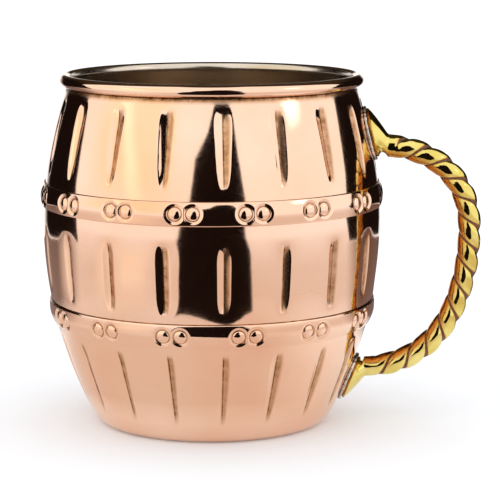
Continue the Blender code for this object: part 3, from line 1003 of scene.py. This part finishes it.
@dataclass
class RopeHandle:
    """One brass casting: two oval pads and a bar twisted like a two-strand rope.

    A bend or a drop is how far a curve's handle stands off its end: the two bends from the pads,
    the two drops from the widest point.
    """

    wall: BarrelWall
    reach: float  # from the axis out to the middle of the bar
    upper: Pad
    lower: Pad
    bar_radius: float = 3.3 * MM
    widest_height: float = 56.1 * MM
    upper_height: float = 79.7 * MM
    lower_height: float = 15.7 * MM
    upper_neck: float = 4.5 * MM
    lower_neck: float = 3.6 * MM
    upper_bend: float = 6.5 * MM
    upper_drop: float = 19.5 * MM
    lower_bend: float = 24.8 * MM
    lower_drop: float = 14.7 * MM
    lower_tilt: float = 1.0 * MM
    lead: float = 13.1 * MM
    twist_start: float = 5.0 * MM
    plain_upper: float = 1.8 * MM
    plain_lower: float = 2.0 * MM
    groove_width: float = 0.72 * MM
    groove_depth: float = 0.28 * MM
    lobe_drop: float = 0.40 * MM
    upper_fade: float = 1.6 * MM  # over which the twist grows at the upper end
    lower_fade: float = 4.0 * MM
    slimming: float = 0.14  # how much slimmer the bar is at its lower end
    slim_run: float = 9.0 * MM
    cast_ripple: float = 0.10 * MM
    stations: int = 460

    def route(self) -> tuple[np.ndarray, np.ndarray, np.ndarray]:
        """The bar's middle line at even distances.

        Returns:
            Points (out, up), outward directions, and distances along the bar.
        """
        wall = self.wall
        start = (float(wall.radius(self.upper_height)) + self.upper_neck, self.upper_height)
        far = (self.reach, self.widest_height)
        end = (float(wall.radius(self.lower_height)) + self.lower_neck, self.lower_height)
        share = np.linspace(0.0, 1.0, 1500)
        high_bend = (start[0] + self.upper_bend, start[1])
        upper = cubic([start, high_bend, (far[0], far[1] + self.upper_drop), far], share)
        low_bend = (end[0] + self.lower_bend, end[1] + self.lower_tilt)
        lower = cubic([far, (far[0], far[1] - self.lower_drop), low_bend, end], share)
        fine = np.vstack([upper, lower[1:]])
        walked = np.concatenate([[0.0], np.cumsum(np.hypot(*np.diff(fine, axis=0).T))])
        distance = np.linspace(0.0, walked[-1], self.stations)
        middle = np.stack([np.interp(distance, walked, fine[:, axis]) for axis in (0, 1)], axis=-1)
        ahead = np.gradient(middle, axis=0)
        ahead /= np.linalg.norm(ahead, axis=1)[:, None]
        return middle, np.stack([-ahead[:, 1], ahead[:, 0]], axis=-1), distance

    def strand(self) -> tuple[np.ndarray, np.ndarray]:
        """One strand's section, from groove middle to groove middle.

        Returns:
            Place across the strand (0 to 1), and distance from the nearer groove's middle.
        """
        pitch = self.lead / 2.0 * math.cos(math.atan(self.lead / (2.0 * math.pi * self.bar_radius)))
        half = self.groove_width / 2.0 / pitch
        rim = np.array([0.0, 0.35, 0.7, 1.0, 1.25, 1.6, 2.1, 2.8]) * half
        place = np.concatenate([rim, np.linspace(3.6 * half, 0.5, 7)])
        place = np.concatenate([place, 1.0 - place[-2:0:-1]])
        return place, np.minimum(place, 1.0 - place) * pitch

    def flare(self, pad: Pad, angle: np.ndarray, neck: np.ndarray) -> np.ndarray:
        """Rings from the middle of a pad's back, round its edge and up its flare.

        Args:
            pad: The pad.
            angle: Where each point lies round the pad.
            neck: The bar's first ring, which the flare runs into.

        Returns:
            The rings, the one nearest the bar last.
        """
        wall, lift = self.wall, 0.2 * MM
        rings = [pad.ring(wall, angle, spread, lift) for spread in (0.02, 0.3, 0.6, 0.85, 0.97)]
        bend = np.linspace(0.0, math.pi / 2.0, 6)
        soft = 0.35 * MM
        for step in bend:
            spread = 1.0 - soft / pad.half_width * (1.0 - math.cos(step))
            rings.append(pad.ring(wall, angle, spread, pad.edge + lift - soft * (1.0 - math.sin(step))))
        edge = rings[-1]
        shoulder = pad.ring(wall, angle, 0.72, pad.edge * 1.9)
        for share in np.linspace(0.0, 1.0, 26)[1:-1]:
            back = 1.0 - share
            rings.append(edge * back * back + shoulder * 2.0 * back * share + neck * share * share)
        return np.stack(rings)

    def build(self) -> bpy.types.Object:
        """Sweep the twisted bar and close it with both pads.

        Returns:
            The closed handle.
        """
        middle, outward, distance = self.route()
        place, off_groove = self.strand()
        start = distance - self.plain_upper
        end = distance[-1] - self.plain_lower - distance
        fade = (smooth_step(start, 0.0, self.upper_fade) * smooth_step(end, 0.0, self.lower_fade))[:, None]
        phase = np.concatenate([place, 1.0 + place]) * math.pi
        angle = phase[None, :] + 2.0 * math.pi * (distance[:, None] - self.twist_start) / self.lead
        away = np.tile(off_groove, 2)[None, :]
        gape = 1.0 + 1.5 * np.clip(np.cos(angle), 0.0, 1.0) ** 3  # grooves open towards the outer side
        half = 0.5 * self.groove_width * gape
        crown = np.clip((away - half) / (off_groove.max() - half), 0.0, 1.0)
        groove = 1.0 - smooth_step(away, 0.1 * half, 1.1 * half)
        sink = self.lobe_drop * (1.0 - crown) ** 3 + self.groove_depth * groove
        along = distance[:, None] / self.bar_radius + 0.0 * angle
        spots = np.stack([np.cos(angle), np.sin(angle), along], axis=-1).reshape(-1, 3)
        cast = np.array([noise.noise(Vector(spot) * 0.9) for spot in spots]).reshape(angle.shape)
        thinning = smooth_step(distance, distance[-1] - self.slim_run, distance[-1])[:, None]
        slim = 1.0 - self.slimming * thinning
        radius = slim * (self.bar_radius - 0.03 * MM) - sink * fade + self.cast_ripple * cast
        lift, side = radius * np.cos(angle), radius * np.sin(angle)
        out = middle[:, :1] + outward[:, :1] * lift
        up = middle[:, 1:] + outward[:, 1:] * lift
        bar = np.stack([out, side, up], axis=-1)
        dirt_and_shade = (1.0 - smooth_step(away, 0.5 * half, 1.5 * half)) * smooth_step(fade, 0.15, 0.8)
        inner_side = smooth_step(-np.cos(angle), 0.0, 0.8)  # painted shade: the side facing the mug is toned amber
        dirt_and_shade = np.maximum(dirt_and_shade, 0.45 * inner_side)
        upper = self.flare(self.upper, angle[0], bar[0])
        lower = self.flare(self.lower, math.pi - angle[-1], bar[-1])[::-1]
        rings = np.concatenate([upper, bar[1:-1], lower])
        crease = np.zeros(rings.shape[:2])
        crease[len(upper):len(upper) + len(bar) - 2] = dirt_and_shade[1:-1]
        crease[:8] = 0.5  # the pads' backs and edges
        crease[-8:] = 0.5
        return skin("rope_handle", rings, crease)


@dataclass
class SolderBead:
    """The bead of silver solder in the corner between a pad and the wall."""

    wall: BarrelWall
    name: str
    pad: Pad
    radius: float = 0.42 * MM
    unevenness: float = 0.35
    sides: int = 12
    steps: int = 150

    def build(self) -> bpy.types.Object:
        """Run an uneven round bead along the pad's oval.

        Returns:
            The closed ring.
        """
        around = np.linspace(0.0, 2.0 * math.pi, self.steps, endpoint=False)
        spots = [(8.0 * math.cos(a), 8.0 * math.sin(a), self.pad.height * 90.0) for a in around]
        ripple = np.array([noise.noise(Vector(spot)) for spot in spots])
        size = self.radius * (1.0 + self.unevenness * ripple)
        section = np.linspace(0.0, 2.0 * math.pi, self.sides, endpoint=False)
        rings = []
        for turn in section:
            away = self.radius * 0.9 + size * math.cos(turn)
            across = (self.pad.half_width + away) * np.sin(around)
            up = (self.pad.half_height + away) * np.cos(around)
            proud = self.radius + size * math.sin(turn)
            turn_out = across / self.wall.radius(self.pad.height)
            rings.append(self.wall.point(turn_out, self.pad.height + up, proud))
        return skin(self.name, np.stack(rings), looped=True)


# --- studio ----------------------------------------------------------------------------------------


@dataclass(frozen=True)
class Panel:
    """A soft-edged panel that only the polished metal sees, bent round the mug.

    It is a list of rows, each with its distance from the axis, its height, the azimuths of its two
    ends and how much it covers. Azimuth 0 is towards the camera and 90 is to the camera's right.
    """

    name: str
    rows: tuple[tuple[float, float, float, float, float], ...]
    color: str = "#1a1210"
    strength: float = 0.9
    side_fade: float = 1.0  # degrees over which it fades out at the end nearer the camera
    far_fade: float = 0.0  # degrees at its other end, where that differs
    columns: int = 64

    def build(self, turn: float) -> bpy.types.Object:
        """Make the panel.

        Args:
            turn: The camera's own azimuth, in degrees.

        Returns:
            The panel, hidden from the camera and from the light that falls on matt things.
        """
        points, cover = [], []
        for distance, height, left, right, full in self.rows:
            azimuth = np.linspace(left, right, self.columns)
            near, far = azimuth - left, right - azimuth
            if left <= 0.0:
                near, far = far, near
            fade = smooth_step(near, 0.0, self.side_fade)
            fade = fade * smooth_step(far, 0.0, self.far_fade or self.side_fade)
            closed = right - left >= 359.0
            cover.append(full * (np.ones(self.columns) if closed else fade))
            angle = np.radians(azimuth + turn)
            out, along = distance * np.sin(angle), -distance * np.cos(angle)
            points.append(np.stack([out, along, height + 0.0 * angle], -1))
        index = np.arange(len(self.rows) * self.columns).reshape(len(self.rows), self.columns)
        quads = np.stack([index[:-1, :-1], index[:-1, 1:], index[1:, 1:], index[1:, :-1]], axis=-1)
        mesh = bpy.data.meshes.new(self.name)
        mesh.from_pydata(np.concatenate(points).tolist(), [], quads.reshape(-1, 4).tolist())
        attribute = mesh.attributes.new("cover", "FLOAT", "POINT")
        attribute.data.foreach_set("value", np.concatenate(cover).astype(np.float32))
        item = bpy.data.objects.new(self.name, mesh)
        bpy.context.scene.collection.objects.link(item)
        mesh.materials.append(self.glow())
        item.visible_camera = False
        item.visible_diffuse = False
        item.visible_shadow = False
        return item

    def glow(self) -> bpy.types.Material:
        """Make the panel's own light, let through where it covers less.

        Returns:
            A plain emission mixed with clear by the mesh's cover attribute.
        """
        material = bpy.data.materials.new(self.name)
        material.use_nodes = True
        tree = material.node_tree
        tree.nodes.clear()
        cover = add_node(tree, "ShaderNodeAttribute", {"attribute_name": "cover"}).outputs["Fac"]
        light = add_node(tree, "ShaderNodeEmission", inputs={
            "Color": linear(self.color), "Strength": self.strength})
        clear = add_node(tree, "ShaderNodeBsdfTransparent")
        mix = add_node(tree, "ShaderNodeMixShader", inputs={
            0: cover, 1: clear.outputs["BSDF"], 2: light.outputs["Emission"]})
        add_node(tree, "ShaderNodeOutputMaterial", inputs={"Surface": mix.outputs["Shader"]})
        return material


def level_rows(left: float, right: float,
               *steps: tuple[float, float, float]) -> tuple[tuple[float, ...], ...]:
    """Rows of a panel that all run between the same two azimuths.

    Args:
        left: Azimuth of their left ends, in degrees.
        right: Azimuth of their right ends.
        steps: Distance, height and cover of each row.

    Returns:
        The rows, in the panel's own order of numbers.
    """
    return tuple((distance, height, left, right, cover) for distance, height, cover in steps)


# the dark gap in front of the mug, and the dark floor between
FRONT_GAP = Panel("front_gap", (
    (0.60, 0.000, -21.0, 22.5, 1.0), (0.60, 0.027, -20.5, 22.0, 1.0),
    (0.60, 0.130, -13.5, 23.0, 1.0), (0.60, 0.260, -11.0, 19.0, 1.0),
    (0.60, 0.344, -1.0, 17.0, 1.0), (0.60, 0.405, 2.0, 15.5, 1.0),
    (0.60, 0.425, 3.5, 13.5, 1.0), (0.60, 0.432, 5.0, 12.0, 0.0)))
FRONT_FLOOR = Panel("front_floor", (
    (0.600, 0.0004, -21.0, 22.5, 1.0), (0.314, 0.0004, -22.5, 25.0, 1.0),
    (0.190, 0.0004, -23.5, 25.0, 1.0), (0.120, 0.0004, -22.0, 24.5, 1.0),
    (0.115, 0.0004, -12.0, 19.5, 1.0), (0.108, 0.0004, 0.0, 15.0, 1.0),
    (0.102, 0.0004, 8.5, 11.5, 1.0)))

# dark flags on both sides, behind the mug, and brown shade on the table below them
LEFT_FLAG = Panel("left_flag", (
    (0.34, 0.002, -156.0, -95.0, 1.0), (0.34, 0.035, -156.0, -95.5, 1.0),
    (0.34, 0.080, -156.0, -98.0, 1.0), (0.34, 0.142, -158.0, -101.0, 1.0),
    (0.34, 0.175, -158.0, -106.0, 1.0), (0.34, 0.24, -158.0, -112.0, 1.0),
    (0.34, 0.34, -158.0, -112.0, 0.0)), far_fade=16.0)
RIGHT_FLAG = Panel("right_flag", (
    (0.34, 0.002, 100.0, 162.0, 1.0), (0.34, 0.035, 96.5, 162.0, 1.0),
    (0.34, 0.080, 98.5, 162.0, 1.0), (0.34, 0.142, 102.0, 162.0, 1.0),
    (0.34, 0.175, 106.5, 162.0, 1.0), (0.34, 0.22, 112.0, 162.0, 1.0),
    (0.34, 0.32, 112.0, 162.0, 0.0)), far_fade=10.0)
LEFT_SHADE = Panel("left_shade", level_rows(
    -178.0, -90.0, (0.100, 0.0003, 0.0), (0.150, 0.0003, 0.85), (0.340, 0.0003, 0.92)),
    color="#674b40", strength=1.0, side_fade=34.0, far_fade=6.0)
RIGHT_SHADE = Panel("right_shade", (
    (0.095, 0.0003, 92.0, 176.0, 0.0), (0.130, 0.0003, 92.0, 178.0, 0.9),
    (0.340, 0.0003, 92.0, 178.0, 0.95)),
    color="#5e3c2c", strength=1.0, side_fade=26.0, far_fade=4.0)

# lights
LEFT_STRIP = Panel("left_strip", (
    (0.60, 0.040, -62.0, -40.0, 0.0), (0.60, 0.120, -62.0, -41.0, 0.7),
    (0.60, 0.220, -67.0, -46.0, 1.0), (0.60, 0.330, -78.0, -56.0, 1.0),
    (0.60, 0.450, -84.0, -62.0, 0.0)), color="#fff8e4", strength=1.5, side_fade=11.0)
LEFT_GLOW = Panel("left_glow", level_rows(
    -100.0, -18.0, (0.65, 0.050, 0.0), (0.65, 0.200, 0.6), (0.65, 0.500, 0.6), (0.65, 0.700, 0.0)),
    color="#ffefc4", strength=1.2, side_fade=26.0)
HOT_SPOT = Panel("hot_spot", level_rows(
    54.0, 75.0, (0.60, 0.290, 0.0), (0.60, 0.325, 0.5), (0.60, 0.355, 1.0),
    (0.60, 0.385, 0.6), (0.60, 0.430, 0.0)),
    color="#ffffff", strength=3.5, side_fade=10.0)

# painted shade of the table round the mug, warmed by the copper, which only the metal sees, near and far,
# with one brighter stretch of painted light
NEAR_TABLE_SHADE = Panel("near_table_shade", level_rows(
    -150.0, 74.0, (0.039, 0.0002, 0.0), (0.047, 0.0002, 0.8), (0.090, 0.0002, 0.8), (0.150, 0.0002, 0.0)),
    color="#dccac0", strength=1.05, side_fade=50.0)
FAR_TABLE_SHADE = Panel("far_table_shade", level_rows(
    -150.0, 150.0, (0.090, 0.00025, 0.0), (0.150, 0.00025, 0.75), (0.220, 0.00025, 0.75),
    (0.340, 0.00025, 0.45), (0.600, 0.00025, 0.0)),
    color="#dccac0", strength=1.05, side_fade=45.0)
TABLE_GLEAM = Panel("table_gleam", level_rows(
    -80.0, -24.0, (0.110, 0.0003, 0.0), (0.190, 0.0003, 0.75), (0.270, 0.0003, 0.75), (0.400, 0.0003, 0.0)),
    color="#fff6e8", strength=1.1, side_fade=26.0)

# the room overhead, which the rim and the inside of the cup show
CEILING = Panel("ceiling", level_rows(
    -180.0, 180.0, (0.001, 0.80, 1.0), (0.125, 0.78, 1.0), (0.160, 0.775, 0.0)),
    color="#4a4030", strength=0.6)
BACK_CEILING = Panel("back_ceiling", (
    (0.125, 0.779, 95.0, 265.0, 1.0), (0.420, 0.700, 95.0, 265.0, 1.0),
    (0.620, 0.450, 105.0, 255.0, 1.0), (0.640, 0.200, 112.0, 248.0, 1.0),
    (0.640, 0.160, 114.0, 246.0, 0.0)), color="#4a4030", strength=0.6)


@dataclass
class Studio:
    """White table, white surround, and the panels that draw the dark shapes in the metal."""

    azimuth: float = 5.0
    distance: float = 615.0 * MM
    height: float = 148.9 * MM
    aside: float = 10.9 * MM
    pitch: float = 9.229
    lens: float = 155.8
    surround: float = 1.18
    floor_color: str = "#f1f4f8"
    floor_glow: float = 0.085
    sensor: float = 36.0
    panels: tuple[Panel, ...] = (
        FRONT_GAP, FRONT_FLOOR, LEFT_FLAG, RIGHT_FLAG, LEFT_SHADE, RIGHT_SHADE, LEFT_STRIP, LEFT_GLOW,
        HOT_SPOT, NEAR_TABLE_SHADE, FAR_TABLE_SHADE, TABLE_GLEAM, CEILING, BACK_CEILING)

    def build(self) -> None:
        """Make the floor, the surround, the panels and the camera."""
        self.floor()
        self.world()
        for panel in self.panels:
            panel.build(self.azimuth)
        self.camera()
        bpy.context.scene.view_settings.view_transform = "Standard"

    def floor(self) -> None:
        """Lay a plain pale floor."""
        bpy.ops.mesh.primitive_plane_add(size=8.0, location=(0.0, 0.0, -0.05 * MM))
        item = bpy.context.object
        item.name = "floor"
        material = bpy.data.materials.new("matt_white_floor")
        material.use_nodes = True
        shader = material.node_tree.nodes["Principled BSDF"]
        shader.inputs["Base Color"].default_value = linear(self.floor_color)
        shader.inputs["Roughness"].default_value = 1.0
        shader.inputs["Specular IOR Level"].default_value = 0.0
        shader.inputs["Emission Color"].default_value = grey(1.0)
        shader.inputs["Emission Strength"].default_value = self.floor_glow
        item.data.materials.append(material)

    def world(self) -> None:
        """Surround the table with plain white light."""
        world = bpy.data.worlds.new("white_surround")
        world.use_nodes = True
        background = world.node_tree.nodes["Background"]
        background.inputs["Color"].default_value = grey(1.0)
        background.inputs["Strength"].default_value = self.surround
        bpy.context.scene.world = world

    def camera(self) -> None:
        """Stand the camera at the front, a little to the right and above the rim."""
        turn = Matrix.Rotation(math.radians(self.azimuth), 4, "Z")
        data = bpy.data.cameras.new("camera")
        data.lens = self.lens
        data.sensor_width = self.sensor
        item = bpy.data.objects.new("camera", data)
        bpy.context.scene.collection.objects.link(item)
        tilt = Matrix.Rotation(math.radians(90.0 - self.pitch), 4, "X")
        stand = Matrix.Translation((self.aside, -self.distance, self.height))
        item.matrix_world = turn @ stand @ tilt
        bpy.context.scene.camera = item


# --- assembly --------------------------------------------------------------------------------------


def main() -> None:
    """Build the studio and every piece of the mug, in order."""
    logging.basicConfig(level=logging.INFO, format="%(name)s %(message)s")
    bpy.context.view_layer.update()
    Studio().build()

    copper = PolishedCopper().build()
    nickel = SpunNickel().build()
    brass = CastBrass().build()
    solder = SilverSolder().build()

    shell_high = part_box("outer_shell")[1]
    wall = BarrelWall(height=0.1, belly_radius=0.0482)
    fluting = Fluting(wall)
    dress(CupShell(wall, fluting).build(), copper, Slot.COPPER, "outer_shell")
    dress(CupLining(wall, fluting).build(), nickel, Slot.LINING, "inner_liner")

    upper = Hoop(wall, "upper_band", middle=66.2 * MM, width=6.6 * MM, pairs=16,
                 first_turn=math.radians(-3.0))
    lower = Hoop(wall, "lower_band", middle=32.6 * MM, width=6.8 * MM, pairs=14,
                 first_turn=math.radians(5.0))
    for hoop, node in ((upper, "upper"), (lower, "lower")):
        dress(hoop.build(), copper, Slot.COPPER, f"{node}_hoop")
        for pair in range(hoop.pairs):
            turn = hoop.first_turn + 2.0 * math.pi * pair / hoop.pairs
            rivets = RivetPair(hoop, f"{node}_rivets_{pair + 1:02d}", turn)
            dress(rivets.build(), copper, Slot.COPPER, f"{node}_rivet_pair_{pair + 1:02d}")

    high_pad = Pad(height=83.2 * MM, half_width=6.0 * MM, half_height=6.8 * MM)
    low_pad = Pad(height=12.9 * MM, half_width=6.0 * MM, half_height=5.9 * MM)
    handle = RopeHandle(wall, reach=73.6 * MM, upper=high_pad, lower=low_pad)
    dress(handle.build(), brass, Slot.BRASS, "handle")
    for end, pad in (("upper", high_pad), ("lower", low_pad)):
        bead = SolderBead(wall, f"{end}_solder_bead", pad)
        dress(bead.build(), solder, Slot.SOLDER, f"{end}_handle_solder")

    LOG.info("shell top at %.1f mm", shell_high.z / MM)


if __name__ == "__main__":
    main()
